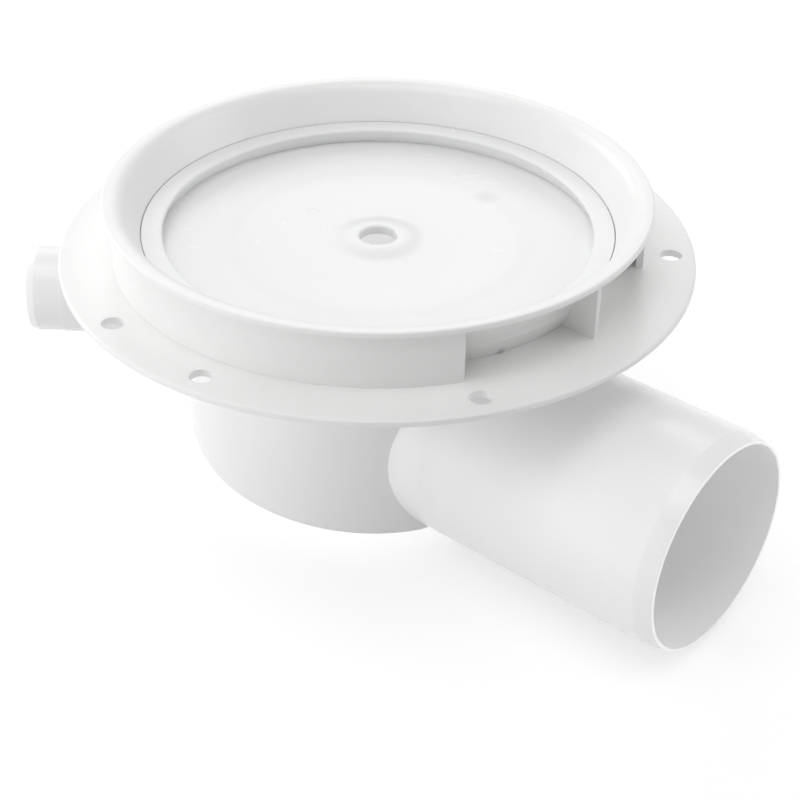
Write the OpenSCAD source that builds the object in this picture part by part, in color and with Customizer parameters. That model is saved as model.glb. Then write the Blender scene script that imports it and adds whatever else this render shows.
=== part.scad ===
// Floor drain with a fixing collar, a side inlet and a straight outlet spigot.
// Millimetres. The origin lies on the collar's axis at floor level,
// +X runs out along the outlet and +Z is up.

/* [Collar] */
// outer diameter of the fixing flange
flange_d = 215; // [206:1:240]
// thickness of the fixing flange
flange_t = 2.4; // [1.8:0.1:4]
// height of the flange's upper face above the floor
flange_h = 95.5; // [93:0.5:130]
// outer diameter of the rim at the top
rim_d = 184; // [181:0.5:190]
// height of the rim above the flange
rim_h = 20.7; // [18:0.1:40]
// thickness of the rim's turned out edge
rim_t = 2.3; // [1.6:0.1:3.5]
// diameter at which the rim starts to round down into the mouth
mouth_d = 179.2; // [176:0.1:181]
// radius of that rounding
mouth_round_r = 5.5; // [4.5:0.1:6]
// diameter of the pocket above the ledge
pocket_d = 160; // [158:0.5:164]
// depth of the ledge below the rim
pocket_depth = 14.35; // [13:0.05:15]
// height of the upright wall around the ledge
pocket_wall_h = 1.6; // [1:0.1:3]
// inner diameter of the collar below the ledge
well_d = 154.2; // [153:0.1:156]
// thickness of the bowl's wall
bowl_wall = 1.6; // [1.2:0.1:2.4]
// outer diameter of the skirt under the rim
skirt_d = 179.4; // [177:0.1:180.4]
// thickness of the skirt
skirt_t = 2.4; // [1.6:0.1:3]
// angle of the window in the skirt, centred on the outlet
window_angle = 63; // [30:1:90]
// thickness of the rib in the middle of the window
window_rib_t = 1.9; // [1.2:0.1:4]
// reach of that rib from the collar's axis
window_rib_reach = 91.2; // [88:0.1:91.8]
// rounding of the collar's outer edges
edge_r = 0.7; // [0.3:0.1:0.8]

/* [Flange holes] */
// diameter of the screw holes in the flange
hole_d = 7.4; // [5:0.1:9]
// diameter of the circle on which the screw holes lie
hole_circle_d = 198.4; // [192:0.1:200]
// angle of the screw hole just before the window, from the outlet
hole_a = 30.4; // [10:0.1:45]
// angle of the screw hole just past the window, from the outlet
hole_b = 37.6; // [10:0.1:45]
// angle of the side pair of screw holes, from the outlet
hole_side = 80.9; // [60:0.1:88]
// angle of the rear pair of screw holes, from the outlet
hole_rear = 105.8; // [100:0.1:140]

/* [Cover disc] */
// thickness of the cover's sheet
disc_t = 1.5; // [1:0.1:2]
// inner diameter of the cover's neck, inside its flange
disc_neck_d = 145.2; // [138:0.1:147]
// depth of the cover's floor below its flange
disc_depth = 6.05; // [4:0.05:6.5]
// rounding where the flange turns down into the neck
disc_bend_r = 0.8; // [0.3:0.1:1]
// diameter of the lifting hole in its middle
disc_hole_d = 12.6; // [8:0.1:16]
// diameter of the raised ring around the lifting hole
disc_ring_d = 27; // [24:0.5:40]
// height of the raised ring's crest above the cover's floor
disc_ring_h = 1.5; // [1:0.1:3]
// width of the raised ring's outer slope
disc_ring_slope = 3; // [1.5:0.1:4]
// fall from the raised ring's crest to the edge of the hole
disc_ring_dip = 0.4; // [0.2:0.1:0.8]

/* [Trap body] */
// outer diameter of the pot
pot_d = 121; // [112:0.5:126]
// distance from the collar's axis back to the pot's axis
pot_back = 9.4; // [5:0.1:11]
// wall thickness of the pot and its pipes
pot_wall = 2.2; // [1.8:0.1:3]
// height of the pot's wall edge where it faces the outlet
pot_front_h = 10.6; // [8:0.1:14]
// fall of the pot's bottom towards the outlet, in degrees
pot_fall = 6.5; // [2:0.5:10]
// how far behind the collar's axis the bottom starts to curve up
pot_turn = 12; // [5:1:30]
// radius of the curve at the back of the bottom
pot_curve_r = 130; // [100:1:200]
// diameter of the joint ring under the flange
joint_d = 168; // [162:1:190]
// thickness of the joint ring
joint_t = 3; // [2:0.1:4]
// height of the spigot that centres the collar
joint_spigot_h = 1.5; // [1:0.1:2]
// diameter of the foot ring
foot_d = 60; // [44:1:64]
// wall thickness of the foot ring
foot_wall = 2.2; // [1.6:0.1:4]

/* [Outlet and inlet] */
// outer diameter of the outlet spigot
outlet_d = 75; // [68:0.5:78]
// reach of the outlet from the collar's axis
outlet_reach = 143.7; // [125:0.1:220]
// gap from the floor to the underside of the outlet
outlet_lift = 2.5; // [1:0.1:5]
// length of the lead-in taper at the outlet's end
outlet_taper_l = 6.4; // [3:0.1:10]
// depth of the lead-in taper at the outlet's end
outlet_taper = 1.2; // [0.5:0.1:1.6]
// length of the outlet's thicker root outside the pot
outlet_root_l = 0.9; // [0.5:0.1:20]
// extra radius of that root
outlet_root_step = 0.6; // [0.5:0.1:1.5]
// outer diameter of the side inlet
inlet_d = 29.4; // [24:0.1:34]
// how far the side inlet reaches past the flange's edge
inlet_out = 11.5; // [8:0.1:50]
// angle of the side inlet, counted from the outlet
inlet_angle = 221; // [200:1:250]
// distance from the flange's underside down to the inlet's top
inlet_drop = 1.9; // [1.5:0.1:6]
// extra radius of the inlet's root, which ends below the flange's edge
inlet_root_step = 0.3; // [0.2:0.1:1]
// length of the lead-in taper at the inlet's end
inlet_taper_l = 2.5; // [1:0.1:4]
// depth of the lead-in taper at the inlet's end
inlet_taper = 0.9; // [0.4:0.1:1.4]

/* [Water seal insert] */
// outer diameter of the standing overflow pipe
weir_d = 34; // [28:0.5:38]
// height of the overflow edge above the floor
weir_h = 62; // [56:0.5:66]
// wall thickness of the insert's pieces
insert_wall = 1.8; // [1.4:0.1:2.2]
// outer diameter of the pipe from the overflow to the outlet
link_d = 28; // [22:0.5:30]
// height of that pipe's axis above the floor
link_h = 27; // [26:0.5:29]
// distance from the collar's axis back to the overflow's axis
weir_back = 4; // [2:0.5:6]
// outer diameter of the bell over the overflow
bell_d = 64; // [58:0.5:70]
// height of the bell's lower edge above the floor
bell_low = 42.5; // [42:0.5:50]
// water passage between the overflow edge and the bell's roof
bell_head = 12; // [9:0.5:13]
// thickness of the ribs by which the bell stands on the overflow edge
bell_rib_t = 2; // [1.2:0.1:4]
// how many ribs the bell has
bell_ribs = 3; // [3:1:6]
// height of the bell's grip
grip_h = 11; // [8:0.5:12]
// width of the bell's grip
grip_w = 30; // [24:1:40]
// thickness of the bell's grip
grip_t = 2.6; // [1.6:0.1:4]
// width of the grip's bars beside and above its slot
grip_bar = 4.5; // [3:0.1:6]
// distance from the collar's axis to the plug's inner face
plug_x = 49; // [47:0.5:56]
// length of the plug in the outlet
plug_l = 10; // [8:0.5:16]
// width of the seal ring on the plug
seal_w = 3.4; // [2.4:0.1:5]
// depth of the seal ring's seat in the plug
seal_deep = 2.3; // [1.5:0.1:3]
// distance from the plug's rim to the outlet's bore
plug_gap = 2; // [1:0.1:2.5]

/* [Clearances] */
// clearance between pieces that fit into one another
fit_gap = 0.3; // [0.2:0.05:0.5]

/* [Output] */
// which piece is drawn

/* [Hidden] */
$fn = 96;
eps = 0.01;
over = 1;
flange_low = flange_h - flange_t;
flange_r = flange_d / 2;
rim_top = flange_h + rim_h;
rim_low = rim_top - rim_t;
rim_r = rim_d / 2;
ledge_z = rim_top - pocket_depth;
pocket_top = ledge_z + pocket_wall_h;
pocket_r = pocket_d / 2;
well_r = well_d / 2;
round_x = mouth_d / 2;
round_z = rim_top - mouth_round_r;
round_span = norm([round_x - pocket_r, round_z - pocket_top]);
flare_a = atan2(round_z - pocket_top, round_x - pocket_r) + asin(mouth_round_r / round_span);
skirt_low = flange_h - flange_t / 2;
skirt_h = rim_h - rim_t / 2 + flange_t / 2;
hole_angles = [-hole_rear, -hole_side, -hole_a, hole_b, hole_side, hole_rear];
disc_top = ledge_z + disc_t;
disc_floor = disc_top - disc_depth;
disc_r = pocket_r - fit_gap;
disc_neck_r = disc_neck_d / 2;
disc_foot_r = well_r - fit_gap - disc_t;
disc_hole_r = disc_hole_d / 2;
disc_ring_r = disc_ring_d / 2;
outlet_r = outlet_d / 2;
outlet_bore_r = outlet_r - pot_wall;
outlet_z = outlet_lift + outlet_r;
inlet_r = inlet_d / 2;
inlet_reach = flange_r + inlet_out;
inlet_root_reach = flange_r + fit_gap;
inlet_z = flange_low - inlet_drop - inlet_r;
pot_r = pot_d / 2;
joint_low = flange_low - joint_t;
front_x = pot_r - pot_back;
turn_z = pot_front_h + (front_x + pot_turn) * tan(pot_fall);
curve_x = -pot_turn + pot_curve_r * sin(pot_fall);
curve_z = turn_z + pot_curve_r * cos(pot_fall);
plug_r = outlet_bore_r - plug_gap;
seat_r = plug_r - seal_deep;
plug_cup_r = seat_r - insert_wall;
seat_w = seal_w + 2 * fit_gap;
weir_r = weir_d / 2;
link_r = link_d / 2;
bell_r = bell_d / 2;
bell_roof = weir_h + bell_head;

// points of an arc, for a section
function arc(centre, r, from, to, steps) = [
    for (i = [0 : steps])
        centre + r * [cos(from + (to - from) * i / steps), sin(from + (to - from) * i / steps)]
];

// points of an edge that is rounded below and above, for a section
function rounded_edge(tip, low, high) = concat(
    arc([tip - edge_r, low + edge_r], edge_r, -90, 0, 4),
    arc([tip - edge_r, high - edge_r], edge_r, 0, 90, 4)
);

// points of the bowl's wall from the flange up into the rim, moved outwards by a depth
function bowl_line(depth, arc_end) = concat(
    [
        [well_r + depth, flange_h],
        [pocket_r + depth, ledge_z],
        [pocket_r + depth, pocket_top - depth * tan((90 - flare_a) / 2)]
    ],
    arc([round_x, round_z], mouth_round_r - depth, flare_a + 90, arc_end, 8)
);

// section of the flange, bowl, ledge and rim
module collar_section() {
    arc_end = 180 - asin((mouth_round_r - rim_t) / (mouth_round_r - bowl_wall));
    polygon(concat(
        [[well_r, flange_low]],
        rounded_edge(flange_r, flange_low, flange_h),
        bowl_line(bowl_wall, arc_end),
        rounded_edge(rim_r, rim_low, rim_top),
        arc([round_x, round_z], mouth_round_r, 90, flare_a + 90, 12),
        [[pocket_r, pocket_top], [pocket_r, ledge_z], [well_r, ledge_z]]
    ));
}

// section of the space inside the bowl, up to the middle of its wall
module bowl_space() {
    polygon(concat(
        [[0, flange_low], [well_r + bowl_wall / 2, flange_low]],
        bowl_line(bowl_wall / 2, 95),
        [[round_x - bowl_wall / 2, rim_top + over], [0, rim_top + over]]
    ));
}

// flange, skirt, bowl, ledge and rim in one moulding
module collar() {
    color([0.95, 0.95, 0.94])
    difference() {
        union() {
            rotate_extrude($fn = 180)
                collar_section();
            rotate([0, 0, window_angle / 2])
                rotate_extrude(angle = 360 - window_angle, $fn = 180)
                    translate([skirt_d / 2 - skirt_t, skirt_low])
                        square([skirt_t, skirt_h]);
            difference() {
                translate([well_r, -window_rib_t / 2, skirt_low])
                    cube([window_rib_reach - well_r, window_rib_t, skirt_h]);
                rotate_extrude($fn = 180)
                    bowl_space();
            }
        }
        for (a = hole_angles)
            rotate([0, 0, a])
                translate([hole_circle_d / 2, 0, flange_low - over])
                    cylinder(d = hole_d, h = flange_t + 2 * over, $fn = 48);
    }
}

// thin flexible cover: its flange lies on the ledge, its neck leans out to its floor
module cover_disc() {
    bend_z = disc_top - disc_bend_r;
    lean = (disc_foot_r - disc_neck_r) / (bend_z - disc_floor);
    crest_r = disc_ring_r - disc_ring_slope;
    color([0.97, 0.97, 0.97])
    rotate_extrude($fn = 180)
        polygon(concat(
            [
                [disc_hole_r, disc_floor - disc_t],
                [disc_foot_r + disc_t, disc_floor - disc_t],
                [disc_foot_r + disc_t, disc_floor],
                [disc_neck_r + lean * (bend_z - ledge_z) + disc_t, ledge_z],
                [disc_r, ledge_z],
                [disc_r, disc_top]
            ],
            arc([disc_neck_r + disc_bend_r, bend_z], disc_bend_r, 90, 180, 4),
            [
                [disc_foot_r, disc_floor],
                [disc_ring_r, disc_floor],
                [crest_r, disc_floor + disc_ring_h],
                [disc_hole_r, disc_floor + disc_ring_h - disc_ring_dip]
            ]
        ));
}

// side view of the pot below the collar, moved inwards by a wall
module pot_side(inset) {
    turn_x = curve_x - (pot_curve_r - inset) * sin(pot_fall);
    turn_low = curve_z - (pot_curve_r - inset) * cos(pot_fall);
    fall_end = pot_d;
    polygon([
        [turn_x, turn_low],
        [fall_end, turn_low - (fall_end - turn_x) * tan(pot_fall)],
        [fall_end, flange_h + over],
        [turn_x, flange_h + over]
    ]);
    intersection() {
        translate([curve_x, curve_z])
            circle(r = pot_curve_r - inset, $fn = 240);
        translate([-pot_d, 0])
            square([pot_d + turn_x + eps, flange_h + over]);
    }
}

// round pot whose bottom falls towards the outlet
module pot_solid(inset, top) {
    intersection() {
        translate([-pot_back, 0, 0])
            cylinder(r = pot_r - inset, h = top, $fn = 180);
        rotate([90, 0, 0])
            linear_extrude(height = 2 * pot_d, center = true)
                pot_side(inset);
    }
}

// pipe along +X with a lead-in taper at its outer end
module tapered_pipe(r, from, to, taper_l, taper) {
    rotate([0, 90, 0])
        rotate_extrude($fn = 120)
            polygon([
                [0, from],
                [r, from],
                [r, to - taper_l],
                [r - taper, to],
                [0, to]
            ]);
}

// the same pipe, started at the collar's axis and closed by a half sphere
module blind_pipe(r, to, taper_l, taper) {
    rotate([0, 90, 0])
        rotate_extrude($fn = 120) {
            polygon([
                [0, 0],
                [r, 0],
                [r, to - taper_l],
                [r - taper, to],
                [0, to]
            ]);
            intersection() {
                circle(r = r, $fn = 120);
                translate([0, -r])
                    square([r, r]);
            }
        }
}

// pot, joint ring, foot ring, outlet and side inlet in one moulding
module trap_body() {
    color([0.93, 0.93, 0.92])
    difference() {
        union() {
            pot_solid(0, flange_low);
            translate([0, 0, joint_low])
                cylinder(d = joint_d, h = joint_t, $fn = 180);
            translate([0, 0, flange_low - eps])
                cylinder(r = well_r - fit_gap, h = joint_spigot_h + eps, $fn = 180);
            translate([0, 0, outlet_z]) {
                blind_pipe(outlet_r + outlet_root_step, front_x + outlet_root_l, over, 0);
                tapered_pipe(outlet_r, front_x, outlet_reach, outlet_taper_l, outlet_taper);
            }
            rotate([0, 0, inlet_angle])
                translate([0, 0, inlet_z]) {
                    tapered_pipe(inlet_r + inlet_root_step, front_x, inlet_root_reach, over, 0);
                    tapered_pipe(inlet_r, front_x, inlet_reach, inlet_taper_l, inlet_taper);
                }
            foot_ring();
        }
        pot_solid(pot_wall, flange_h + over);
        translate([0, 0, outlet_z])
            blind_pipe(outlet_bore_r, outlet_reach + over, over, 0);
        rotate([0, 0, inlet_angle])
            translate([0, 0, inlet_z])
                rotate([0, 90, 0])
                    cylinder(r = inlet_r - pot_wall, h = inlet_reach + over, $fn = 72);
    }
}

// ring under the pot on which the drain stands
module foot_ring() {
    foot_top = outlet_z - sqrt(outlet_bore_r * outlet_bore_r - foot_d * foot_d / 4 + foot_d * foot_wall) - eps;
    difference() {
        cylinder(d = foot_d, h = foot_top, $fn = 96);
        translate([0, 0, -over])
            cylinder(r = foot_d / 2 - foot_wall, h = foot_top + 2 * over, $fn = 96);
    }
}

// standing pipe with a plug that closes the outlet above it
module overflow() {
    link_low = link_h - link_r;
    color([0.85, 0.86, 0.88])
    difference() {
        union() {
            translate([-weir_back, 0, link_low])
                cylinder(r = weir_r, h = weir_h - link_low, $fn = 72);
            translate([-weir_back, 0, link_h])
                rotate([0, 90, 0])
                    cylinder(r = link_r, h = plug_x + weir_back + insert_wall / 2, $fn = 72);
            difference() {
                translate([plug_x, 0, outlet_z])
                    rotate([0, 90, 0])
                        cylinder(r = plug_r, h = plug_l, $fn = 120);
                translate([plug_x + insert_wall, 0, outlet_z])
                    rotate([0, 90, 0])
                        cylinder(r = plug_cup_r, h = plug_l, $fn = 120);
            }
        }
        translate([-weir_back, 0, link_low + insert_wall])
            cylinder(r = weir_r - insert_wall, h = weir_h, $fn = 72);
        translate([-weir_back, 0, link_h])
            rotate([0, 90, 0])
                cylinder(r = link_r - insert_wall, h = plug_x + weir_back + plug_l + over, $fn = 72);
        translate([plug_x + (plug_l - seat_w) / 2, 0, outlet_z])
            rotate([0, 90, 0])
                difference() {
                    cylinder(r = plug_r + over, h = seat_w, $fn = 120);
                    translate([0, 0, -over])
                        cylinder(r = seat_r, h = seat_w + 2 * over, $fn = 120);
                }
    }
}

// bell that stands on the overflow edge and dips into the water
module bell() {
    rib_in = weir_r - 2 * insert_wall;
    slot_w = grip_w - 2 * grip_bar;
    rib_out = bell_r - insert_wall / 2;
    color([0.85, 0.86, 0.88])
    translate([-weir_back, 0, 0]) {
        difference() {
            translate([0, 0, bell_low])
                cylinder(r = bell_r, h = bell_roof + insert_wall - bell_low, $fn = 96);
            translate([0, 0, bell_low - over])
                cylinder(r = bell_r - insert_wall, h = bell_roof - bell_low + over, $fn = 96);
        }
        for (i = [0 : bell_ribs - 1])
            rotate([0, 0, 60 + i * 360 / bell_ribs])
                translate([rib_in, -bell_rib_t / 2, weir_h])
                    cube([rib_out - rib_in, bell_rib_t, bell_head + insert_wall / 2]);
        difference() {
            translate([-grip_t / 2, -grip_w / 2, bell_roof])
                cube([grip_t, grip_w, insert_wall + grip_h]);
            translate([-grip_t, -slot_w / 2, bell_roof + insert_wall])
                cube([2 * grip_t, slot_w, grip_h - grip_bar]);
        }
    }
}

// rubber ring between the plug and the outlet's bore
module seal_ring() {
    color([0.15, 0.15, 0.15])
    translate([plug_x + (plug_l - seal_w) / 2, 0, outlet_z])
        rotate([0, 90, 0])
            difference() {
                cylinder(r = outlet_bore_r - fit_gap, h = seal_w, $fn = 120);
                translate([0, 0, -over])
                    cylinder(r = seat_r + fit_gap, h = seal_w + 2 * over, $fn = 120);
            }
}

collar();
cover_disc();
trap_body();
overflow();
bell();
seal_ring();
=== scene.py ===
import bpy, bmesh, math
from mathutils import Matrix, Vector


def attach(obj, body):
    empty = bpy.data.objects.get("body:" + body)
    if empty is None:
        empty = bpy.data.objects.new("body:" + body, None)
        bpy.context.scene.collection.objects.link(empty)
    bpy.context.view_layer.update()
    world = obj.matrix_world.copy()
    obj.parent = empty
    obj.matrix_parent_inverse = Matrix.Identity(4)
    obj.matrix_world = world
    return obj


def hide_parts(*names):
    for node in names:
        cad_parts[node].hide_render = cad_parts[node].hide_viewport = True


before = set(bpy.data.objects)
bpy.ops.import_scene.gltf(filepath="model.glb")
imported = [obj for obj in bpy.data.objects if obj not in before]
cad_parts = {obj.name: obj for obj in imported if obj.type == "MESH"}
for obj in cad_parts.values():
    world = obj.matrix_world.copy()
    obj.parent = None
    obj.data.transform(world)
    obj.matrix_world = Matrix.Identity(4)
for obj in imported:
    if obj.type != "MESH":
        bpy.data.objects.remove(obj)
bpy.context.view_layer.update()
scene = bpy.context.scene

# Camera: the photograph looks down over the flange from between the outlet and
# the side inlet. Its place was solved from the rim, flange and outlet circles.
cam_data = bpy.data.cameras.new("camera")
cam_data.sensor_width = 36.0
cam_data.lens = 81.356
cam_data.clip_start = 0.01
cam_data.clip_end = 50.0
cam = bpy.data.objects.new("camera", cam_data)
scene.collection.objects.link(cam)
cam_turn, cam_yaw, cam_pitch, cam_roll = (math.radians(v) for v in (41.43, 0.88, 33.83, 0.94))
cam_spot = Vector((0.0, -0.54107, 0.39394))
level = math.cos(cam_pitch)
ahead = Vector((math.sin(cam_yaw) * level, math.cos(cam_yaw) * level, -math.sin(cam_pitch)))
right = Vector((math.cos(cam_yaw), -math.sin(cam_yaw), 0.0))
up = right.cross(ahead)
side = math.cos(cam_roll) * right + math.sin(cam_roll) * up
top = -math.sin(cam_roll) * right + math.cos(cam_roll) * up
view_turn = Matrix.Rotation(cam_turn, 4, "Z")
look = Matrix((side, top, -ahead)).transposed().to_4x4()
cam.matrix_world = view_turn @ Matrix.Translation(cam_spot) @ look
scene.camera = cam

# Trap body: pot, outlet spigot, side inlet, joint ring and foot in one injection
# moulding of white polypropylene. The skin is satin, a little cloudy and lets some
# light through. Painted light glows inside the pot and the spigot's bore, and a
# painted highlight brightens the thin end of the spigot.
pot_r = 0.0605
pot_back = 0.0094
pot_inside_r = 0.0582
spigot_r = 0.0375
spigot_z = 0.04
spigot_end = 0.1437
bore_start = 0.05
bore_r = 0.0355
root_r = 0.0381
root_end = 0.0521
root_blend = 0.02
foot_edge_z = 0.003
foot_round = 0.0014
edge_round = 0.0003
painted_pot_light_strength = 0.26
painted_bore_light_strength = 0.06
painted_end_highlight_strength = 0.22


def add(nodes, kind, **values):
    node = nodes.new("ShaderNode" + kind)
    for name, value in values.items():
        if name in node.inputs:
            node.inputs[name].default_value = value
        else:
            setattr(node, name, value)
    return node


def combine(nodes, links, operation, first, second):
    step = add(nodes, "Math", operation=operation)
    links.new(first, step.inputs[0])
    links.new(second, step.inputs[1])
    return step.outputs["Value"]


def fade(nodes, links, value, start, end, at_start, painted_end_highlight, curve="LINEAR"):
    ramp = add(nodes, "MapRange", interpolation_type=curve)
    ramp.inputs["From Min"].default_value = start
    ramp.inputs["From Max"].default_value = end
    ramp.inputs["To Min"].default_value = at_start
    ramp.inputs["To Max"].default_value = painted_end_highlight
    links.new(value, ramp.inputs["Value"])
    return ramp.outputs["Result"]


def moulded(name, darker, lighter, edge_round, depth, share, gloss=(0.26, 0.36)):
    mat = bpy.data.materials.new(name)
    mat.use_nodes = True
    nodes, links = mat.node_tree.nodes, mat.node_tree.links
    skin = nodes["Principled BSDF"]
    skin.inputs["IOR"].default_value = 1.49
    skin.inputs["Subsurface Weight"].default_value = share
    skin.inputs["Subsurface Radius"].default_value = (1.0, 0.98, 0.93)
    skin.inputs["Subsurface Scale"].default_value = depth
    place = add(nodes, "TexCoord")
    place.name = "place"
    cloud = add(nodes, "TexNoise", Scale=16.0, Detail=3.0)
    tone = add(nodes, "ValToRGB")
    tone.color_ramp.elements[0].position = 0.32
    tone.color_ramp.elements[0].color = (*darker, 1.0)
    tone.color_ramp.elements[1].position = 0.68
    tone.color_ramp.elements[1].color = (*lighter, 1.0)
    grain = add(nodes, "TexNoise", Scale=850.0, Detail=2.0)
    grain.name = "grain"
    edge = add(nodes, "Bevel", samples=6, Radius=edge_round)
    edge.name = "edge"
    relief = add(nodes, "Bump", Strength=0.03, Distance=0.0002)
    relief.name = "relief"
    links.new(place.outputs["Object"], cloud.inputs["Vector"])
    links.new(cloud.outputs["Fac"], tone.inputs["Fac"])
    links.new(tone.outputs["Color"], skin.inputs["Base Color"])
    links.new(place.outputs["Object"], grain.inputs["Vector"])
    rough = fade(nodes, links, grain.outputs["Fac"], 0.0, 1.0, *gloss)
    links.new(rough, skin.inputs["Roughness"])
    links.new(grain.outputs["Fac"], relief.inputs["Height"])
    links.new(edge.outputs["Normal"], relief.inputs["Normal"])
    links.new(relief.outputs["Normal"], skin.inputs["Normal"])
    return mat


def reach_from(mat, centre, keep):
    nodes, links = mat.node_tree.nodes, mat.node_tree.links
    offset = add(nodes, "VectorMath", operation="SUBTRACT")
    offset.inputs[1].default_value = centre
    flat = add(nodes, "VectorMath", operation="MULTIPLY")
    flat.inputs[1].default_value = keep
    reach = add(nodes, "VectorMath", operation="LENGTH")
    links.new(nodes["place"].outputs["Object"], offset.inputs[0])
    links.new(offset.outputs["Vector"], flat.inputs[0])
    links.new(flat.outputs["Vector"], reach.inputs[0])
    return reach.outputs["Value"]


def finish(name, material):
    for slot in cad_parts[name].material_slots:
        slot.material = material


body_white = moulded("body_plastic", (0.92, 0.922, 0.92), (0.95, 0.952, 0.95),
                     edge_round, 0.004, 0.35, (0.18, 0.26))
nodes, links = body_white.node_tree.nodes, body_white.node_tree.links
skin = nodes["Principled BSDF"]
height = add(nodes, "SeparateXYZ")
links.new(nodes["place"].outputs["Object"], height.inputs["Vector"])
edges_round = fade(nodes, links, height.outputs["Z"],
                   foot_edge_z, 2 * foot_edge_z, foot_round, edge_round)
links.new(edges_round, nodes["edge"].inputs["Radius"])
from_pot = reach_from(body_white, (-pot_back, 0.0, 0.0), (1.0, 1.0, 0.0))
from_bore = reach_from(body_white, (0.0, 0.0, spigot_z), (0.0, 1.0, 1.0))
# Painted light: emission glows inside the pot and inside the spigot's bore.
painted_pot_light = fade(nodes, links, from_pot, pot_inside_r, pot_inside_r + 0.0008, painted_pot_light_strength, 0.0)
painted_bore_light = fade(nodes, links, from_bore, bore_r, bore_r + 0.0004, painted_bore_light_strength, 0.0)
past_pot = fade(nodes, links, height.outputs["X"], bore_start, bore_start + 0.001, 0.0, 1.0)
# Painted highlight: emission brightens the spigot's thin cut end.
painted_end_highlight = fade(nodes, links, height.outputs["X"],
              spigot_end - 0.00025, spigot_end - 0.00005, 0.0, painted_end_highlight_strength)
painted_bore_light = combine(nodes, links, "MULTIPLY", painted_bore_light, past_pot)
inside = combine(nodes, links, "MAXIMUM", painted_pot_light, painted_bore_light)
lit = combine(nodes, links, "MAXIMUM", inside, painted_end_highlight)
# The emission carries the painted light and the painted highlight.
skin.inputs["Emission Color"].default_value = (1.0, 1.0, 0.99, 1.0)
links.new(lit, skin.inputs["Emission Strength"])
finish("trap_body", body_white)

# The moulding runs from the pot's wall into the spigot without a step, so this copy
# of it takes in the thicker root that the waste pipe's socket stops against.
near = 0.00004
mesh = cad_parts["trap_body"].data.copy()
mesh.name = "trap_shell"
kept = mesh.attributes.new("kept_normal", "FLOAT_VECTOR", "CORNER")
for corner, normal in zip(kept.data, mesh.corner_normals):
    corner.vector = normal.vector
shell = bmesh.new()
shell.from_mesh(mesh)
bmesh.ops.remove_doubles(shell, verts=shell.verts, dist=0.000002)
for v in shell.verts:
    reach = math.hypot(v.co.y, v.co.z - spigot_z)
    if abs(reach - root_r) > near or not 0.0 < v.co.x < root_end:
        continue
    on_pot = abs(math.hypot(v.co.x + pot_back, v.co.y) - pot_r) < near
    taken_in = 1.0 - (1.0 - spigot_r / root_r) * min(1.0, v.co.x / root_blend)
    v.co.y *= taken_in
    v.co.z = spigot_z + (v.co.z - spigot_z) * taken_in
    if on_pot:
        v.co.x = math.sqrt(pot_r ** 2 - v.co.y ** 2) - pot_back
shell.to_mesh(mesh)
shell.free()
mesh.normals_split_custom_set([c.vector for c in mesh.attributes["kept_normal"].data])
mesh.attributes.remove(mesh.attributes["kept_normal"])
trap = bpy.data.objects.new("trap_shell", mesh)
scene.collection.objects.link(trap)
trap.material_slots[0].material = body_white
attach(trap, "root")
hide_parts("trap_body")

# Overflow pipe with its plug, and the bell over it: two plain mouldings of the same
# plastic that lift out for cleaning. They stand inside the pot, under the cover.
insert_white = moulded("insert_plastic", (0.88, 0.885, 0.885), (0.91, 0.915, 0.915),
                       0.0005, 0.004, 0.4)
for name in ("overflow", "bell"):
    finish(name, insert_white)

# Seal ring: a ring of black rubber, squeezed between the plug and the outlet's
# bore. Its skin is dull and nearly even.
rubber = bpy.data.materials.new("seal_rubber")
rubber.use_nodes = True
nodes, links = rubber.node_tree.nodes, rubber.node_tree.links
skin = nodes["Principled BSDF"]
skin.inputs["Roughness"].default_value = 0.6
place = add(nodes, "TexCoord")
speck = add(nodes, "TexNoise", Scale=300.0)
tone = add(nodes, "ValToRGB")
tone.color_ramp.elements[0].color = (0.018, 0.018, 0.018, 1.0)
tone.color_ramp.elements[1].color = (0.035, 0.035, 0.035, 1.0)
links.new(place.outputs["Object"], speck.inputs["Vector"])
links.new(speck.outputs["Fac"], tone.inputs["Fac"])
links.new(tone.outputs["Color"], skin.inputs["Base Color"])
finish("seal_ring", rubber)

# Collar: fixing flange, skirt with its window, bowl, ledge and rim in one glossy
# white moulding. It sits on the trap body's joint ring. A small round spot of
# painted shade darkens the flange, in the skirt's window.
painted_shade_spot = (0.0730, -0.0263)


def mark(mat, spot, radius, soft, shade, ring=0.0):
    nodes, links = mat.node_tree.nodes, mat.node_tree.links
    skin = nodes["Principled BSDF"]
    reach = reach_from(mat, (*spot, 0.0), (1.0, 1.0, 0.0))
    if ring:
        apart = add(nodes, "Math", operation="SUBTRACT")
        apart.inputs[1].default_value = ring
        span = add(nodes, "Math", operation="ABSOLUTE")
        links.new(reach, apart.inputs[0])
        links.new(apart.outputs["Value"], span.inputs[0])
        reach = span.outputs["Value"]
    strength = fade(nodes, links, reach, radius, radius + soft, shade, 1.0, "SMOOTHSTEP")
    before = skin.inputs["Base Color"].links[0].from_socket
    tinted = add(nodes, "VectorMath", operation="SCALE")
    links.new(before, tinted.inputs[0])
    links.new(strength, tinted.inputs["Scale"])
    links.new(tinted.outputs["Vector"], skin.inputs["Base Color"])


collar_white = moulded("collar_plastic", (0.865, 0.865, 0.86), (0.90, 0.90, 0.895),
                       0.0003, 0.002, 0.12)
# Painted shade: a small round darker spot on the flange in the skirt's window.
mark(collar_white, painted_shade_spot, 0.0012, 0.0014, 0.72)
finish("collar", collar_white)

# Cover: a thin sheet of milky plastic whose flange lies on the collar's ledge. Light
# passes through it. A soft swell rises round its lifting hole, and its floor has a
# faint ring, a small ring mark and a soft spot of painted shade standing in for a
# shallow sink dimple. Its sizes are in millimetres.
hole_r = 6.3
crest_r = 8.0
crest_h = 1.5
swell_r = 17.0
swell_steps = 12
floor_r = 75.3
foot_r = 76.8
under_z = 95.8
floor_z = 97.3
neck_back_r = 74.46
flange_r = 79.7
flange_low = 101.85
flange_top = 103.35
bend_r = 0.8
bend_x = 73.4
sheet_round = 0.2

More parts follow.
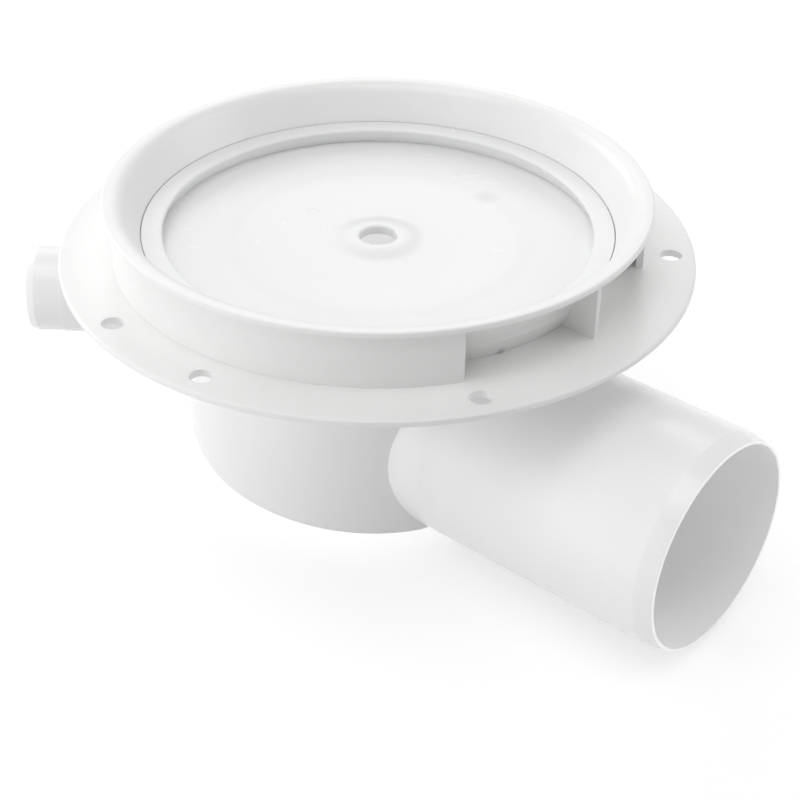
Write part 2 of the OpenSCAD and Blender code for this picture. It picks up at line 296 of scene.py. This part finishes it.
profile = [
    (hole_r, under_z),
    (foot_r - sheet_round, under_z),
    (foot_r, under_z + sheet_round),
    (foot_r, floor_z),
    (neck_back_r, flange_low),
    (flange_r - 0.1, flange_low),
    (flange_r, flange_low + 0.1),
    (flange_r, flange_top - 0.15),
    (flange_r - 0.15, flange_top),
]
for turn in (90.0, 112.5, 135.0, 157.5, 180.0):
    profile.append((bend_x + bend_r * math.cos(math.radians(turn)),
                    flange_top - bend_r + bend_r * math.sin(math.radians(turn))))
profile += [(floor_r, floor_z), (40.0, floor_z), (swell_r, floor_z)]
for k in range(1, swell_steps + 1):
    along = k / swell_steps
    profile.append((swell_r - (swell_r - crest_r) * along,
                    floor_z + crest_h / 2 * (1 - math.cos(math.pi * along))))
profile += [(7.2, 98.76), (6.7, 98.6), (6.4, 98.3), (hole_r, 97.9)]

sheet = moulded("cover_plastic", (0.965, 0.967, 0.97), (0.98, 0.982, 0.985),
                0.0003, 0.001, 0.0, (0.22, 0.30))
nodes, links = sheet.node_tree.nodes, sheet.node_tree.links
nodes["relief"].inputs["Strength"].default_value = 0.0
nodes["grain"].inputs["Scale"].default_value = 60.0
through = add(nodes, "BsdfTranslucent", Color=(0.96, 0.96, 0.96, 1.0))
milky = add(nodes, "MixShader", Fac=0.15)
links.new(nodes["Principled BSDF"].outputs["BSDF"], milky.inputs[1])
links.new(through.outputs["BSDF"], milky.inputs[2])
links.new(milky.outputs["Shader"], nodes["Material Output"].inputs["Surface"])
mark(sheet, (0.0, 0.0), 0.0005, 0.004, 0.982, 0.050)
# Painted shade: a soft darker spot stands in for the shading of a shallow sink dimple.
mark(sheet, (0.0080, 0.0485), 0.0015, 0.0045, 0.90)
mark(sheet, (-0.0299, -0.0006), 0.0002, 0.0006, 0.95, 0.0018)
finish("cover_disc", sheet)

lathe = bmesh.new()
ring = [lathe.verts.new((r / 1000, 0.0, z / 1000)) for r, z in profile]
edges = [lathe.edges.new(pair) for pair in zip(ring, ring[1:] + ring[:1])]
bmesh.ops.spin(lathe, geom=ring + edges, cent=(0.0, 0.0, 0.0), axis=(0.0, 0.0, 1.0),
               angle=2 * math.pi, steps=192, use_merge=True)
bmesh.ops.recalc_face_normals(lathe, faces=lathe.faces)
for face in lathe.faces:
    face.smooth = True
mesh = bpy.data.meshes.new("cover_sheet")
lathe.to_mesh(mesh)
lathe.free()
mesh.set_sharp_from_angle(angle=math.radians(24))
mesh.materials.append(sheet)
cover = bpy.data.objects.new("cover_sheet", mesh)
scene.collection.objects.link(cover)
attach(cover, "root")
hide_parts("cover_disc")

# Floor: plain white ground. The camera and reflections see it as white, whiter with
# the distance, and the object's shadow stays on it.
mesh = bpy.data.meshes.new("floor")
ground_bm = bmesh.new()
bmesh.ops.create_grid(ground_bm, x_segments=1, y_segments=1, size=6.0)
ground_bm.to_mesh(mesh)
ground_bm.free()
floor = bpy.data.objects.new("floor", mesh)
scene.collection.objects.link(floor)
ground = bpy.data.materials.new("floor")
ground.use_nodes = True
nodes, links = ground.node_tree.nodes, ground.node_tree.links
nodes.remove(nodes["Principled BSDF"])


def seen_by(nodes, links, *rays):
    path = add(nodes, "LightPath")
    total = path.outputs[rays[0]]
    for ray in rays[1:]:
        total = combine(nodes, links, "MAXIMUM", total, path.outputs[ray])
    return total


plain = add(nodes, "BsdfDiffuse", Color=(0.8, 0.8, 0.8, 1.0))
shadowed = add(nodes, "BsdfDiffuse", Color=(0.5, 0.5, 0.5, 1.0))
glow = add(nodes, "Emission", Color=(1.0, 1.0, 1.0, 1.0))
place = add(nodes, "TexCoord")
away = add(nodes, "VectorMath", operation="LENGTH")
links.new(place.outputs["Object"], away.inputs[0])
links.new(fade(nodes, links, away.outputs["Value"], 0.22, 0.70, 0.60, 1.0), glow.inputs["Strength"])
both = add(nodes, "AddShader")
pick = add(nodes, "MixShader")
eye = seen_by(nodes, links, "Is Camera Ray", "Is Glossy Ray", "Is Transmission Ray")
links.new(shadowed.outputs["BSDF"], both.inputs[0])
links.new(glow.outputs["Emission"], both.inputs[1])
links.new(eye, pick.inputs["Fac"])
links.new(plain.outputs["BSDF"], pick.inputs[1])
links.new(both.outputs["Shader"], pick.inputs[2])
links.new(pick.outputs["Shader"], nodes["Material Output"].inputs["Surface"])
mesh.materials.append(ground)

# World: soft even light from all around, and white where the camera, a reflection
# or a view through the plastic meets it.
world = bpy.data.worlds.new("world")
scene.world = world
world.use_nodes = True
nodes, links = world.node_tree.nodes, world.node_tree.links
air = nodes["Background"]
air.inputs["Color"].default_value = (1.0, 1.0, 1.0, 1.0)
air.inputs["Strength"].default_value = 0.38
white_air = add(nodes, "Background", Color=(1.0, 1.0, 1.0, 1.0), Strength=1.0)
pick = add(nodes, "MixShader")
eye = seen_by(nodes, links, "Is Camera Ray", "Is Glossy Ray", "Is Transmission Ray")
links.new(eye, pick.inputs["Fac"])
links.new(air.outputs["Background"], pick.inputs[1])
links.new(white_air.outputs["Background"], pick.inputs[2])
links.new(pick.outputs["Shader"], nodes["World Output"].inputs["Surface"])


# Lamps: five large soft boxes, placed as the camera sees them: one low on the left,
# two behind, one on the right and one overhead. The low one gives no reflection.
def lamp(name, place, size, power):
    data = bpy.data.lights.new(name, "AREA")
    data.shape = "SQUARE"
    data.size = size
    data.energy = power
    obj = bpy.data.objects.new(name, data)
    scene.collection.objects.link(obj)
    spot = Vector(place)
    aim = Vector((0.0, 0.0, 0.05))
    obj.location = view_turn @ spot
    obj.rotation_euler = (view_turn @ (aim - spot)).to_track_quat("-Z", "Y").to_euler()
    return obj


lamp("lamp_left", (-1.4, -0.4, 0.35), 0.7, 8.0).visible_glossy = False
lamp("lamp_back_left", (-1.0, 1.0, 0.9), 0.9, 5.8)
lamp("lamp_back", (0.0, 1.4, 1.1), 0.9, 3.4)
lamp("lamp_right", (1.4, 0.1, 0.8), 0.9, 4.8)
lamp("lamp_top", (-0.2, -0.4, 1.5), 1.0, 6.5)

scene.view_settings.view_transform = "Standard"
